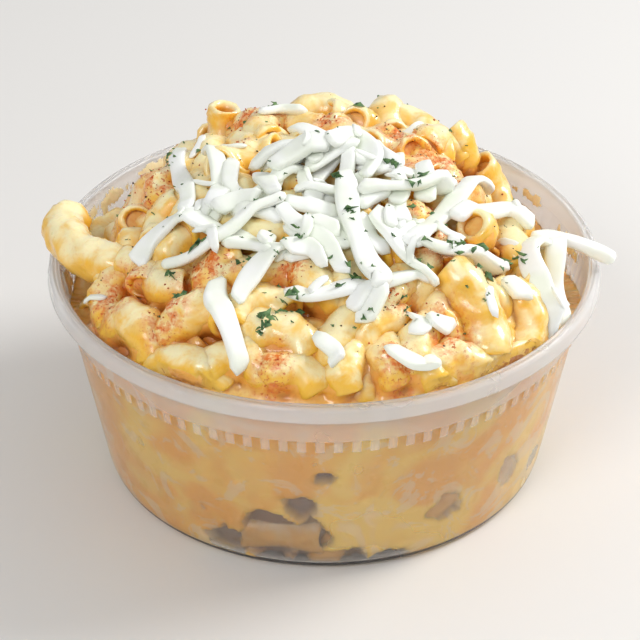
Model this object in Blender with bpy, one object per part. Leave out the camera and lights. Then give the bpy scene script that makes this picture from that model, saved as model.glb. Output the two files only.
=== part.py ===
"""Macaroni and cheese heaped in a low round clear tub, with shredded white cheese on top.

Five solids, each its own object: the tub, the heap of macaroni, the pile of shreds on it, and the two
pieces that lean out over the rim. Z is up, the tub stands on z = 0 and its axis is the Z axis.
"""

import math

import bmesh
import bpy
import numpy as np

MM = 0.001

# The tub: a thin tapered wall with a row of stacking teeth under a rolled rim.
TUB_HEIGHT = 48 * MM
RIM_RADIUS = 58.5 * MM
WALL = 0.7 * MM
FLOOR = 0.8 * MM
BASE_RADIUS = 48.1 * MM
BASE_ROUND = 3.0 * MM
TEETH = 94
TEETH_TOP = 37.6 * MM
TEETH_FOOT = 34.5 * MM
TEETH_TOP_WALL = 53.75 * MM
TOOTH_PROUD = 0.45 * MM
TOOTH_BLEND = 0.45 * MM
TOOTH_SHARE = 0.53
BAND_TOP = 43.5 * MM

# The food: how full the tub is round its wall, and how high the heap stands over the rim.
GAP = 0.3 * MM
HEAP_OVER_RIM = 18.5 * MM
HEAP_STEEPNESS = (2.4, 3.2)
FILL_AZIMUTHS = (0, 15, 32, 50, 90, 125, 155, 180, 205, 240, 300, 340)
FILL_DEPTHS = (9, 12, 7, 6, 6, 6, 8, 10, 4, 1, 1, 3)
TROUGH_WIDTHS = (6, 7.5, 5, 4, 3, 4, 5, 6, 2, 0, 0, 2)
HEAP_RINGS = 22
ELBOWS = 84
ELBOW_RADIUS = 3.8 * MM
ELBOW_LENGTH = 19 * MM
ELBOW_SPACING = 6.3 * MM
SINK = 1.5 * MM

# The pile of shreds: fingers of cheese round a thicker middle.
PILE_AZIMUTHS = 48
PILE_RINGS = 8
PILE_RADIUS = 37 * MM
PILE_FINGER = 8 * MM
PILE_CENTRE = (2 * MM, -1 * MM)
PILE_EDGE = 2.2 * MM
PILE_MIDDLE = 4.5 * MM
PILE_REACH = 5.6 * MM


def interpolate(value, places, results):
    return float(np.interp(value, places, results))


def finish(name, mesh_data, colour, roughness, transmission=0.0):
    """Puts a mesh in the scene under this name, shaded smooth, with its own material."""
    mesh = bpy.data.meshes.new(name)
    mesh_data.normal_update()
    mesh_data.to_mesh(mesh)
    mesh_data.free()
    mesh.shade_smooth()
    mesh.set_sharp_from_angle(angle=math.radians(40))
    material = bpy.data.materials.new(name)
    material.use_nodes = True
    shader = material.node_tree.nodes["Principled BSDF"]
    shader.inputs["Base Color"].default_value = (*colour, 1)
    shader.inputs["Roughness"].default_value = roughness
    shader.inputs["Metallic"].default_value = 0.0
    shader.inputs["Transmission Weight"].default_value = transmission
    mesh.materials.append(material)
    solid = bpy.data.objects.new(name, mesh)
    bpy.context.scene.collection.objects.link(solid)
    return solid


def ring(data, points):
    return [data.verts.new(point) for point in points]


def bridge(data, lower, upper):
    """Joins two rings round the axis, also where the upper has a whole number of points for each lower one."""
    if len(lower) > len(upper):
        for i in range(len(upper)):
            share = len(lower) // len(upper)
            near = [lower[(i * share + k) % len(lower)] for k in range(share + 1)]
            for k in range(share):
                data.faces.new((near[k], near[k + 1], upper[i]))
            data.faces.new((near[share], upper[(i + 1) % len(upper)], upper[i]))
        return
    share = len(upper) // len(lower)
    for i in range(len(lower)):
        near = [upper[(i * share + k) % len(upper)] for k in range(share + 1)]
        after = lower[(i + 1) % len(lower)]
        if share == 1:
            data.faces.new((lower[i], after, near[1], near[0]))
            continue
        for k in range(share):
            data.faces.new((lower[i], near[k + 1], near[k]))
        data.faces.new((lower[i], after, near[share]))


def cap(data, points, centre, upward):
    middle = data.verts.new(centre)
    for i, point in enumerate(points):
        after = points[(i + 1) % len(points)]
        data.faces.new((point, after, middle) if upward else (after, point, middle))


# --- The tub -----------------------------------------------------------------------------------------


def wall_outside(z):
    """The outer radius of the tapered wall below the band."""
    slope = (TEETH_TOP_WALL - BASE_RADIUS) / (TEETH_FOOT - BASE_ROUND)
    return BASE_RADIUS + slope * (z - BASE_ROUND)


def wall_inside(z):
    """The inner radius of the tub at this height, up to the rim."""
    heights = (FLOOR, BASE_ROUND + WALL, TEETH_FOOT, 44 * MM, TUB_HEIGHT)
    radii = (44.6 * MM, 47.4 * MM, 53.05 * MM, 55.2 * MM, 55.75 * MM)
    return interpolate(z, heights, radii)


def circle(radius, z, count=TEETH):
    turns = [2 * math.pi * i / count for i in range(count)]
    return [(radius * math.cos(a), radius * math.sin(a), z) for a in turns]


def tooth_row(z):
    """Four points for each tooth: its two proud corners, then the two of the gap after it."""
    low = wall_outside(z)
    proud = low + TOOTH_PROUD
    steps = ((0.04, proud), (TOOTH_SHARE, proud), (TOOTH_SHARE + 0.06, low), (0.98, low))
    points = []
    for i in range(TEETH):
        for share, radius in steps:
            a = 2 * math.pi * (i + share) / TEETH
            points.append((radius * math.cos(a), radius * math.sin(a), z))
    return points


def make_tub():
    data = bmesh.new()
    outside = []
    for turn in (-90, -45, 0):
        a = math.radians(turn)
        radius = BASE_RADIUS - BASE_ROUND + BASE_ROUND * math.cos(a)
        outside.append(circle(radius, BASE_ROUND + BASE_ROUND * math.sin(a)))
    outside.append(circle(wall_outside(TEETH_FOOT), TEETH_FOOT))
    outside.append(tooth_row(TEETH_FOOT + TOOTH_BLEND))
    outside.append(tooth_row(TEETH_TOP - TOOTH_BLEND))
    outside.append(circle(wall_outside(TEETH_TOP) + TOOTH_PROUD, TEETH_TOP))
    outside.append(circle(wall_outside(BAND_TOP) + TOOTH_PROUD, BAND_TOP))
    # The rim, each point as (distance in from its widest edge, distance down from its top).
    rim = (
        (2.4, 1.2),
        (1.4, 1.2),
        (0.8, 3.4),
        (0.0, 3.4),
        (0.45, 0.9),
        (1.15, 0.0),
        (1.9, 0.45),
        (2.5, 0.0),
    )
    for inward, down in rim:
        outside.append(circle(RIM_RADIUS - inward * MM, TUB_HEIGHT - down * MM))
    for z in (47.4 * MM, 44 * MM, TEETH_FOOT, BASE_ROUND + WALL):
        outside.append(circle(wall_inside(z), z))
    outside.append(circle(46.6 * MM, 1.5 * MM))
    outside.append(circle(wall_inside(FLOOR), FLOOR))
    rings = [ring(data, points) for points in outside]
    for lower, upper in zip(rings, rings[1:]):
        bridge(data, lower, upper)
    cap(data, rings[0], (0, 0, 0), upward=False)
    cap(data, rings[-1], (0, 0, FLOOR), upward=True)
    return finish("container", data, (0.85, 0.84, 0.82), 0.25, transmission=0.8)


# --- The macaroni ------------------------------------------------------------------------------------


def round_the_tub(azimuth, values):
    """A value given at each of FILL_AZIMUTHS, read at any azimuth, in metres."""
    degrees = math.degrees(azimuth) % 360
    return interpolate(degrees, FILL_AZIMUTHS + (360,), values + values[:1]) * MM


def fill_level(azimuth):
    return TUB_HEIGHT - round_the_tub(azimuth, FILL_DEPTHS)


def dome(x, y):
    """The heap without its lumps: a mound, steeper at the back, with a trough between it and the wall."""
    azimuth = math.atan2(y, x)
    level = fill_level(azimuth)
    foot = wall_inside(level) - GAP - round_the_tub(azimuth, TROUGH_WIDTHS)
    outward = min(math.hypot(x, y) / foot, 1)
    front, back = HEAP_STEEPNESS
    power = front + (back - front) * (1 + math.sin(azimuth)) / 2
    return level + (TUB_HEIGHT + HEAP_OVER_RIM - level) * (1 - outward**power)


def elbow_arc(x, y, heading, bend, count=6):
    """Points in plan along a bent elbow, whose middle is at (x, y)."""
    step = ELBOW_LENGTH / count
    turns = [heading + bend * (i / count - 0.5) for i in range(count + 1)]
    points = np.array([(math.cos(a) * step, math.sin(a) * step) for a in turns]).cumsum(axis=0)
    return points - points[count // 2] + (x, y)


def scattered_elbows():
    """Elbows over the whole heap, on a sunflower spiral, each with its own heading and lift."""
    chance = np.random.default_rng(7)
    arcs = []
    for i in range(ELBOWS):
        outward = ELBOW_SPACING * math.sqrt(i + 0.5)
        around = i * math.radians(137.5)
        x = outward * math.cos(around)
        y = outward * math.sin(around)
        foot = wall_inside(TUB_HEIGHT) - round_the_tub(around, TROUGH_WIDTHS)
        if outward > foot - ELBOW_RADIUS:
            continue
        heading = chance.uniform(0, 2 * math.pi)
        bend = chance.uniform(1.0, 2.2) * chance.choice((-1, 1))
        arcs.append((elbow_arc(x, y, heading, bend), dome(x, y) + chance.uniform(-1.5, 1.5) * MM))
    return arcs


def elbow_height(away):
    """How far an elbow's skin stands over its middle line, this far to the side, with a skirt of sauce."""
    shoulder = 0.75 * ELBOW_RADIUS
    if away < shoulder:
        return math.sqrt(ELBOW_RADIUS**2 - away**2)
    return math.sqrt(ELBOW_RADIUS**2 - shoulder**2) - 1.7 * (away - shoulder)


def heap_top(x, y, arcs):
    """The height of the heap over this point: the highest elbow there, or the mound between them."""
    mound = dome(x, y)
    top = mound - 2 * SINK
    azimuth = math.atan2(y, x)
    foot = wall_inside(fill_level(azimuth)) - round_the_tub(azimuth, TROUGH_WIDTHS)
    if math.hypot(x, y) > foot - 1 * MM:
        return mound
    for points, centre in arcs:
        away = float(np.hypot(points[:, 0] - x, points[:, 1] - y).min())
        top = max(top, centre - SINK + elbow_height(away))
    return min(top, mound + 1.2 * ELBOW_RADIUS)


def under_route(x, y, top, route, radius):
    """Keeps the heap below a piece that lies on it."""
    points = np.array(route)
    away = np.hypot(points[:, 0] - x, points[:, 1] - y)
    near = int(away.argmin())
    if away[near] < radius + 3 * MM:
        return min(top, points[near, 2] - radius - 3 * GAP)
    return top


def make_heap(routes):
    arcs = scattered_elbows()
    data = bmesh.new()
    sides = 6 * HEAP_RINGS
    middle = data.verts.new((0, 0, heap_top(0, 0, arcs)))
    rings = []
    tops = [(0, 0, middle.co.z)]
    for k in range(1, HEAP_RINGS + 1):
        points = []
        for i in range(6 * k):
            a = 2 * math.pi * i / (6 * k)
            level = fill_level(a)
            outward = (wall_inside(level) - GAP) * k / HEAP_RINGS
            x = outward * math.cos(a)
            y = outward * math.sin(a)
            top = heap_top(x, y, arcs) if k < HEAP_RINGS else level
            for route, radius in routes:
                top = under_route(x, y, top, route, radius)
            points.append((x, y, top))
        tops += points
        rings.append(ring(data, points))
    for i in range(6):
        data.faces.new((middle, rings[0][i], rings[0][(i + 1) % 6]))
    for inner, outer in zip(rings, rings[1:]):
        k = len(inner) // 6
        for sector in range(6):
            for i in range(k + 1):
                first = outer[(sector * (k + 1) + i) % len(outer)]
                second = outer[(sector * (k + 1) + i + 1) % len(outer)]
                near = inner[(sector * k + i) % len(inner)]
                data.faces.new((first, second, near))
                if i < k:
                    data.faces.new((second, inner[(sector * k + i + 1) % len(inner)], near))
    upper = rings[-1]
    wall = (
        (wall_inside(TEETH_FOOT) - GAP, TEETH_FOOT),
        (47.4 * MM - GAP, BASE_ROUND + WALL),
        (46.4 * MM - GAP, 1.7 * MM + GAP),
        (wall_inside(FLOOR) - GAP, FLOOR + GAP),
    )
    for radius, z in wall:
        lower = ring(data, circle(radius, z, sides))
        bridge(data, lower, upper)
        upper = lower
    cap(data, upper, (0, 0, FLOOR + GAP), upward=False)
    finish("macaroni_heap", data, (0.85, 0.6, 0.2), 0.45)
    return np.array(tops)


# --- The shreds --------------------------------------------------------------------------------------


def make_pile(tops):
    """The pile follows the heap below it and runs out in fingers, longer and shorter in turn."""
    data = bmesh.new()
    cx, cy = PILE_CENTRE

    def underside(x, y):
        near = np.hypot(tops[:, 0] - x, tops[:, 1] - y) < PILE_REACH
        return float(tops[near, 2].max()) + GAP

    def loop(share):
        points = []
        for i in range(PILE_AZIMUTHS):
            a = 2 * math.pi * i / PILE_AZIMUTHS
            finger = PILE_FINGER * (0.6 * math.cos(12 * a + 0.7) + 0.4 * math.cos(7 * a + 2))
            outward = share * (PILE_RADIUS + finger * share)
            points.append((cx + outward * math.cos(a), cy + outward * math.sin(a)))
        return points

    def thickness(x, y, share):
        ripple = 1 + 0.3 * math.sin(x / (2.1 * MM) + 1) * math.sin(y / (2.4 * MM))
        return (PILE_EDGE + (PILE_MIDDLE - PILE_EDGE) * (1 - share**2)) * ripple

    below = []
    above = []
    for k in range(1, PILE_RINGS + 1):
        share = k / PILE_RINGS
        plan = loop(share)
        low = [underside(x, y) for x, y in plan]
        below.append(ring(data, [(x, y, z) for (x, y), z in zip(plan, low)]))
        high = [z + thickness(x, y, share) for (x, y), z in zip(plan, low)]
        above.append(ring(data, [(x, y, z) for (x, y), z in zip(plan, high)]))
    for inner, outer in zip(below, below[1:]):
        bridge(data, inner, outer)
    bridge(data, below[-1], above[-1])
    for inner, outer in zip(above, above[1:]):
        bridge(data, outer, inner)
    low = underside(cx, cy)
    cap(data, below[0], (cx, cy, low), upward=False)
    cap(data, above[0], (cx, cy, low + PILE_MIDDLE), upward=True)
    return finish("cheese_shreds", data, (0.9, 0.92, 0.9), 0.4)


# --- Single pieces -----------------------------------------------------------------------------------


def smooth_route(points, count):
    """Points along a smooth curve through the given ones."""
    places = np.linspace(0, 1, len(points))
    given = np.array(points)
    ends = np.vstack([2 * given[0] - given[1], given, 2 * given[-1] - given[-2]])
    route = []
    for share in np.linspace(0, 1, count):
        k = min(int(share * (len(points) - 1)), len(points) - 2)
        t = (share - places[k]) * (len(points) - 1)
        a, b, c, d = ends[k : k + 4]
        route.append(0.5 * (2 * b + (c - a) * t + (2 * a - 5 * b + 4 * c - d) * t**2 + (3 * b - a - 3 * c + d) * t**3))
    return np.array(route)


def sweep(name, route, half_width, half_height, round_end, colour, roughness, sides=12):
    """A bar with an oval section along a route, its ends rounded over this length."""
    data = bmesh.new()
    steps = np.linalg.norm(np.diff(route, axis=0), axis=1)
    along = np.concatenate([[0], steps.cumsum()])
    rings = []
    for i, centre in enumerate(route):
        forward = route[min(i + 1, len(route) - 1)] - route[max(i - 1, 0)]
        forward /= np.linalg.norm(forward)
        side = np.cross((0, 0, 1), forward)
        side /= np.linalg.norm(side)
        over = np.cross(forward, side)
        to_end = min(along[i], along[-1] - along[i])
        inward = max(1 - to_end / round_end, 0)
        size = max(math.sqrt(1 - inward**2), 0.35)
        turns = [2 * math.pi * k / sides for k in range(sides)]
        rings.append(
            ring(
                data,
                [
                    centre
                    + side * half_width * size * math.cos(a)
                    + over * half_height * size * math.sin(a)
                    for a in turns
                ],
            )
        )
    for lower, upper in zip(rings, rings[1:]):
        bridge(data, lower, upper)
    cap(data, rings[0], route[0], upward=False)
    cap(data, rings[-1], route[-1], upward=True)
    return finish(name, data, colour, roughness)


def rim_elbow_route():
    """The elbow that leans out over the rim on the left, resting on it."""
    rest = TUB_HEIGHT + ELBOW_RADIUS + GAP
    points = (
        (-54.6 * MM, 8.0 * MM, rest + 1.4 * MM),
        (-54.4 * MM, 1.5 * MM, rest + 0.4 * MM),
        (-51.6 * MM, -6.0 * MM, rest),
        (-46.0 * MM, -12.0 * MM, rest),
        (-39.5 * MM, -15.5 * MM, rest + 0.6 * MM),
    )
    return smooth_route(points, 16)


def rim_shred_route():
    """The shred that lies out over the rim on the right, resting on it."""
    rest = TUB_HEIGHT + 1.5 * MM + GAP
    points = (
        (46.0 * MM, -8.5 * MM, rest + 5.0 * MM),
        (51.5 * MM, -5.5 * MM, rest + 3.4 * MM),
        (56.5 * MM, -5.0 * MM, rest + 1.3 * MM),
        (60.5 * MM, -7.5 * MM, rest + 0.6 * MM),
    )
    return smooth_route(points, 10)


def main():
    for old in list(bpy.data.objects):
        bpy.data.objects.remove(old)
    elbow = rim_elbow_route()
    shred = rim_shred_route()
    make_tub()
    tops = make_heap(((elbow, ELBOW_RADIUS), (shred, 2 * MM)))
    make_pile(tops)
    sweep("rim_elbow", elbow, ELBOW_RADIUS, ELBOW_RADIUS, ELBOW_RADIUS, (0.9, 0.68, 0.3), 0.4)
    sweep("rim_shred", shred, 2.1 * MM, 1.5 * MM, 1.2 * MM, (0.9, 0.92, 0.9), 0.4, sides=8)


main()
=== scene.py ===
"""The looks of a round clear tub heaped with macaroni in cheese sauce, with shredded cheese and herbs."""
import math

import bpy
import numpy as np
from mathutils import Matrix, Vector, noise as lumps


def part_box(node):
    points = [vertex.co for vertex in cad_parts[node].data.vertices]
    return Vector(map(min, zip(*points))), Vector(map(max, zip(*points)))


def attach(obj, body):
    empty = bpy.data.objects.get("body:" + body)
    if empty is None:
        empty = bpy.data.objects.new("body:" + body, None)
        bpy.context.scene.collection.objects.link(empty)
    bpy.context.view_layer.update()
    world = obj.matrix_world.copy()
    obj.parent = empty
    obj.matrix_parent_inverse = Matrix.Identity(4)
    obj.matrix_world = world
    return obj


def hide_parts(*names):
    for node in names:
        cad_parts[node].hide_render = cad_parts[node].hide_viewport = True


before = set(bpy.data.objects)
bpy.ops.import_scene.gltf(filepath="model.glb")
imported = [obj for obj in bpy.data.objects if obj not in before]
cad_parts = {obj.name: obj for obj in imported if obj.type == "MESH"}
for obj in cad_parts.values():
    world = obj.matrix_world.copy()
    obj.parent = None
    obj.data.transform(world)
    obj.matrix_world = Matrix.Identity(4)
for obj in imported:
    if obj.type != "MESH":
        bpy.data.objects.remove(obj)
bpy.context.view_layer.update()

MM = 0.001

# --- Sizes, from the frame ---------------------------------------------------------------------------

TUB_LOW, TUB_HIGH = (Vector(corner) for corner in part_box("container"))
RIM_Z = TUB_HIGH.z
RIM_RADIUS = TUB_HIGH.x
WALL = 0.7 * MM
FLOOR = 0.8 * MM
TEETH = 94
TEETH_TOP = 37.6 * MM
TEETH_FOOT = 34.5 * MM
TOOTH_PROUD = 0.45 * MM
BASE_RADIUS = 48.1 * MM
BASE_ROUND = 3 * MM
RIM_DEPTH = 4.2 * MM

# How full the tub is round its wall, and how wide the trough between wall and heap is, in millimetres.
AZIMUTHS = (0, 15, 32, 50, 90, 125, 155, 180, 205, 240, 300, 340)
FILL_DEPTHS = (9, 12, 7, 6, 6, 6, 8, 10, 4, 1, 1, 3)
TROUGH_WIDTHS = (6, 7.5, 5, 4, 3, 4, 5, 6, 2, 0, 0, 2)
HEAP_OVER_RIM = 18.5 * MM
HEAP_STEEPNESS = (2.4, 3.2)
SAUCE_SAG = 1.3 * MM
SAUCE_DEPTH = 3.5 * MM


def linear(red, green, blue):
    """A colour given as 0 to 255, as the shader wants it."""
    parts = []
    for part in (red, green, blue):
        part /= 255
        parts.append(part / 12.92 if part <= 0.04045 else ((part + 0.055) / 1.055) ** 2.4)
    return (*parts, 1.0)


# --- Shader helpers ----------------------------------------------------------------------------------


def new_group(name, inputs, outputs):
    """An empty node group. Inputs and outputs are (name, kind, default)."""
    group = bpy.data.node_groups.new(name, "ShaderNodeTree")
    for label, kind, default in inputs:
        socket = group.interface.new_socket(label, in_out="INPUT", socket_type=kind)
        socket.default_value = default
    for label, kind in outputs:
        group.interface.new_socket(label, in_out="OUTPUT", socket_type=kind)
    return group, group.nodes.new("NodeGroupInput"), group.nodes.new("NodeGroupOutput")


def noise(tree, scale, detail=2.0, roughness=0.5, distortion=0.0):
    """Noise in the piece's own space, scale in lumps to the metre."""
    place = tree.nodes.new("ShaderNodeTexCoord")
    node = tree.nodes.new("ShaderNodeTexNoise")
    node.inputs["Scale"].default_value = scale
    node.inputs["Detail"].default_value = detail
    node.inputs["Roughness"].default_value = roughness
    node.inputs["Distortion"].default_value = distortion
    tree.links.new(place.outputs["Object"], node.inputs["Vector"])
    return node.outputs["Fac"]


def ramp(tree, value, low, high, to_low=0.0, to_high=1.0):
    """Maps value from low..high to to_low..to_high, smoothly and without going past them."""
    node = tree.nodes.new("ShaderNodeMapRange")
    node.interpolation_type = "SMOOTHSTEP"
    node.inputs["From Min"].default_value = low
    node.inputs["From Max"].default_value = high
    node.inputs["To Min"].default_value = to_low
    node.inputs["To Max"].default_value = to_high
    tree.links.new(value, node.inputs["Value"])
    return node.outputs["Result"]


def math_node(tree, operation, first, second):
    node = tree.nodes.new("ShaderNodeMath")
    node.operation = operation
    for socket, value in zip(node.inputs, (first, second)):
        if isinstance(value, (int, float)):
            socket.default_value = value
        else:
            tree.links.new(value, socket)
    return node.outputs["Value"]


def mix(tree, share, first, second, blend="MIX"):
    """Mixes two colours, each a socket or a plain colour."""
    node = tree.nodes.new("ShaderNodeMix")
    node.data_type = "RGBA"
    node.blend_type = blend
    for socket, value in ((node.inputs[0], share), (node.inputs[6], first), (node.inputs[7], second)):
        if isinstance(value, bpy.types.NodeSocket):
            tree.links.new(value, socket)
        else:
            socket.default_value = value
    return node.outputs[2]


def attribute(tree, name):
    node = tree.nodes.new("ShaderNodeAttribute")
    node.attribute_name = name
    return node.outputs["Fac"]


def material(name, roughness=0.4):
    made = bpy.data.materials.new(name)
    made.use_nodes = True
    shader = made.node_tree.nodes["Principled BSDF"]
    shader.inputs["Roughness"].default_value = roughness
    return made, made.node_tree, shader


def group_node(tree, group, **values):
    node = tree.nodes.new("ShaderNodeGroup")
    node.node_tree = group
    for label, value in values.items():
        node.inputs[label.replace("_", " ")].default_value = value
    return node


def bumped(tree, shader, height, strength, distance):
    node = tree.nodes.new("ShaderNodeBump")
    node.inputs["Strength"].default_value = strength
    node.inputs["Distance"].default_value = distance
    tree.links.new(height, node.inputs["Height"])
    tree.links.new(node.outputs["Normal"], shader.inputs["Normal"])


# --- Materials ---------------------------------------------------------------------------------------


def sauce_tone_group():
    """Cream on upward faces and gold on faces turned aside or down, a painted shade, mixed with golden
    patches at random; painted shade in tan in the hollows and brown in gaps and bores; orange where paprika
    fell.
    """
    group, given, out = new_group(
        "sauce_tone",
        (
            ("Cream", "NodeSocketColor", linear(245, 232, 190)),
            ("Gold", "NodeSocketColor", linear(232, 180, 85)),
            ("Tan", "NodeSocketColor", linear(226, 172, 96)),
            ("Deep", "NodeSocketColor", linear(170, 105, 45)),
            ("Paprika", "NodeSocketColor", linear(224, 116, 34)),
            ("Speck", "NodeSocketColor", linear(200, 92, 30)),
        ),
        (
            ("Color", "NodeSocketColor"),
            ("Gloss", "NodeSocketFloat"),
            ("Coat", "NodeSocketFloat"),
            ("Lumps", "NodeSocketFloat"),
        ),
    )
    facing = group.nodes.new("ShaderNodeNewGeometry")
    upward = group.nodes.new("ShaderNodeSeparateXYZ")
    group.links.new(facing.outputs["Normal"], upward.inputs[0])
    patchy = noise(group, 190, 3.0, 0.55, 0.5)
    patch = ramp(group, patchy, 0.3, 0.68, 0.0, 0.85)
    # Painted shade: faces turned away from the sky take the gold, upward ones the cream; the noise adds
    # golden patches at random.
    tilt = math_node(group, "ADD", math_node(group, "MULTIPLY", upward.outputs["Z"], 0.9), patch)
    golden_shade_and_patches = ramp(group, tilt, 0.42, 1.58, 1.0, 0.0)
    colour = mix(group, golden_shade_and_patches, given.outputs["Cream"], given.outputs["Gold"])
    # Painted shade: tan where a point lies below its neighbours.
    tan_shade = math_node(group, "MULTIPLY", attribute(group, "hollow_shade"), ramp(group, patchy, 0.3, 0.6, 1.0, 0.55))
    colour = mix(group, tan_shade, colour, given.outputs["Tan"])
    # Painted shade: brown in bores, gaps and low parts.
    colour = mix(group, attribute(group, "shade_depth"), colour, given.outputs["Deep"])
    fallen = attribute(group, "dust")
    smudge = math_node(group, "MULTIPLY", ramp(group, noise(group, 380, 3.0, 0.6), 0.41, 0.58), fallen)
    smudge = math_node(group, "MULTIPLY", smudge, ramp(group, noise(group, 1500, 2.0), 0.3, 0.6, 0.45, 1.0))
    colour = mix(group, smudge, colour, given.outputs["Paprika"])
    specks = ramp(group, noise(group, 1300, 2.0, 0.6), 0.6, 0.66)
    specks = math_node(group, "MULTIPLY", specks, math_node(group, "ADD", fallen, 0.08))
    colour = mix(group, specks, colour, given.outputs["Speck"])
    group.links.new(colour, out.inputs["Color"])
    group.links.new(ramp(group, noise(group, 230, 2.0), 0.3, 0.7, 0.2, 0.46), out.inputs["Gloss"])
    group.links.new(ramp(group, noise(group, 140, 2.0), 0.38, 0.6, 0.1, 0.7), out.inputs["Coat"])
    group.links.new(noise(group, 420, 2.0), out.inputs["Lumps"])
    return group


def grain_tone_group():
    """Lighter and darker in small patches, for herbs and spices."""
    group, given, out = new_group(
        "grain_tone",
        (
            ("Light", "NodeSocketColor", linear(128, 128, 128)),
            ("Dark", "NodeSocketColor", linear(90, 90, 90)),
        ),
        (("Color", "NodeSocketColor"),),
    )
    patchy = ramp(group, noise(group, 700, 2.0), 0.35, 0.65)
    colour = mix(group, patchy, given.outputs["Dark"], given.outputs["Light"])
    group.links.new(colour, out.inputs["Color"])
    return group


def milky_cloud_group():
    """Plastic that is hazier in one place than in the next."""
    group, _, out = new_group("milky_cloud", (), (("Haze", "NodeSocketFloat"),))
    group.links.new(ramp(group, noise(group, 60, 2.0), 0.3, 0.7, 0.14, 0.28), out.inputs["Haze"])
    return group


def wear_sauce(tree, shader, look):
    """Links the sauce's gloss, wet coat and lumps, and sets what is the same wherever sauce lies."""
    tree.links.new(look.outputs["Gloss"], shader.inputs["Roughness"])
    tree.links.new(look.outputs["Coat"], shader.inputs["Coat Weight"])
    shader.inputs["Coat Roughness"].default_value = 0.09
    shader.inputs["Subsurface Scale"].default_value = 2 * MM
    bumped(tree, shader, look.outputs["Lumps"], 0.18, 0.3 * MM)


def pasta_material(name, tone, cream, gold, tan_shade):
    made, tree, shader = material(name)
    # Gold is partly painted shade on the sides; Tan and Deep are painted shade for hollows, bores and low
    # parts.
    look = group_node(tree, tone, Cream=cream, Gold=gold, Tan=tan_shade, Deep=linear(186, 98, 20))
    tree.links.new(look.outputs["Color"], shader.inputs["Base Color"])
    shader.inputs["Subsurface Weight"].default_value = 0.2
    shader.inputs["Subsurface Radius"].default_value = (1.0, 0.7, 0.35)
    wear_sauce(tree, shader, look)
    return made


def sauce_material(tone):
    """Golden sauce on top; against the wall, wet gold with paler dry patches, and painted shade, dark
    brown, in the air gaps low down.
    """
    made, tree, shader = material("cheese_sauce")
    # Gold is partly painted shade on the sides; Tan and Deep are painted shade for hollows and low parts.
    look = group_node(
        tree,
        tone,
        Cream=linear(250, 214, 136),
        Gold=linear(240, 170, 62),
        Tan=linear(224, 152, 64),
        Deep=linear(150, 78, 18),
    )
    blotches = ramp(tree, noise(tree, 55, 2.0, 0.5, 0.6), 0.42, 0.6)
    wet = mix(tree, blotches, linear(249, 184, 82), linear(255, 214, 112))
    dry = ramp(tree, noise(tree, 70, 4.0, 0.6, 2.0), 0.52, 0.6)
    wet = mix(tree, math_node(tree, "MULTIPLY", dry, 0.55), wet, linear(244, 220, 184))
    # Painted shade: the sauce in the air gaps against the wall turns dark brown.
    gap_shade_share = math_node(tree, "MULTIPLY", attribute(tree, "gap_shade"), 0.9)
    wet = mix(tree, gap_shade_share, wet, linear(112, 70, 42))
    colour = mix(tree, attribute(tree, "through_wall"), look.outputs["Color"], wet)
    tree.links.new(colour, shader.inputs["Base Color"])
    shader.inputs["Subsurface Weight"].default_value = 0.15
    shader.inputs["Subsurface Radius"].default_value = (1.0, 0.6, 0.25)
    wear_sauce(tree, shader, look)
    return made


def cheese_material():
    """White waxy cheese, a little cooler in one place and yellower in another."""
    made, tree, shader = material("white_cheese", 0.38)
    tint = ramp(tree, noise(tree, 120, 2.0), 0.35, 0.65)
    colour = mix(tree, tint, linear(249, 251, 247), linear(239, 244, 230))
    tree.links.new(colour, shader.inputs["Base Color"])
    tree.links.new(ramp(tree, noise(tree, 300, 2.0), 0.3, 0.7, 0.36, 0.55), shader.inputs["Roughness"])
    shader.inputs["Subsurface Weight"].default_value = 0.2
    shader.inputs["Subsurface Scale"].default_value = 3 * MM
    shader.inputs["Subsurface Radius"].default_value = (1.0, 0.95, 0.85)
    bumped(tree, shader, noise(tree, 500, 2.0), 0.1, 0.2 * MM)
    return made


def plastic_material(name, clearness, cloud):
    """Thin milky polypropylene: part of the light passes, the rest scatters."""
    made, tree, shader = material(name)
    shader.inputs["Base Color"].default_value = linear(250, 249, 248)
    shader.inputs["Transmission Weight"].default_value = clearness
    shader.inputs["IOR"].default_value = 1.3
    tree.links.new(group_node(tree, cloud).outputs["Haze"], shader.inputs["Roughness"])
    return made


def grain_material(name, tone, light, dark):
    made, tree, shader = material(name, 0.65)
    look = group_node(tree, tone, Light=light, Dark=dark)
    tree.links.new(look.outputs["Color"], shader.inputs["Base Color"])
    return made


# --- Mesh helpers ------------------------------------------------------------------------------------


def mark(mesh, name, values):
    """Stores one value for each point, which the materials read by name."""
    layer = mesh.attributes.get(name) or mesh.attributes.new(name, "FLOAT", "POINT")
    layer.data.foreach_set("value", np.asarray(values, np.float32))


def points_of(mesh):
    at = np.empty(len(mesh.vertices) * 3)
    mesh.vertices.foreach_get("co", at)
    return at.reshape(-1, 3)


def make_piece(name, points, faces, made_of, smooth=True, shade_depth=None):
    """A mesh object from points and faces, with one material, and a painted shade value for each point if
    given.
    """
    mesh = bpy.data.meshes.new(name)
    mesh.from_pydata([tuple(p) for p in points], [], [tuple(f) for f in faces])
    mesh.validate()
    if smooth:
        mesh.shade_smooth()
    if shade_depth is not None:
        mark(mesh, "shade_depth", shade_depth)
    mesh.materials.append(made_of)
    made = bpy.data.objects.new(name, mesh)
    bpy.context.scene.collection.objects.link(made)
    return made


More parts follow.
